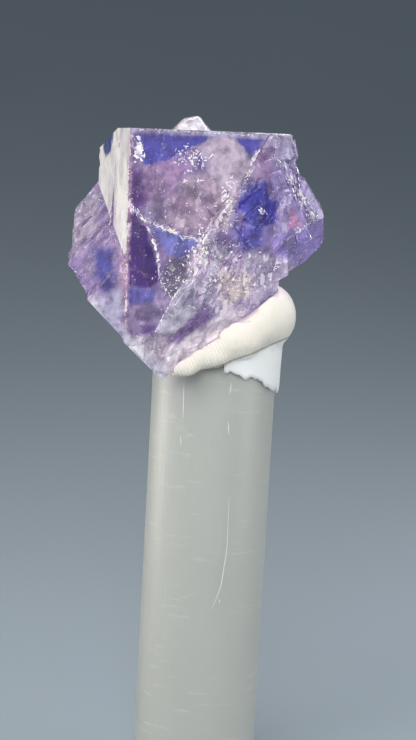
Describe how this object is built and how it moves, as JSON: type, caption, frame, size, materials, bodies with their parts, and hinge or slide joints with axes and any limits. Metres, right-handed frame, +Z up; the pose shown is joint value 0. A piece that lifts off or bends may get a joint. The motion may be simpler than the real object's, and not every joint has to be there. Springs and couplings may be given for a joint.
{
  "type": "fluorite specimen",
  "caption": "Purple-blue fluorite cube corner with broken, stepped cleavage faces, pressed into putty on the cut end of a frosted plastic rod that stands on its flat foot.",
  "frame": {"origin": "centre of the rod's flat foot", "axes": "+Z up along the rod, -Y towards the viewer of the crystal's large cube face, +X to that viewer's right"},
  "size_m": [0.0229, 0.018, 0.0604],
  "materials": {
    "fluorite": "clear purple to blue crystal, glossy cleavage",
    "putty": "soft cream mounting putty",
    "frosted_plastic": "frosted translucent plastic with faint scratches"
  },
  "bodies": {
    "root": {"crystal": "fluorite", "putty": "putty", "rod": "frosted_plastic"}
  },
  "joints": []
}
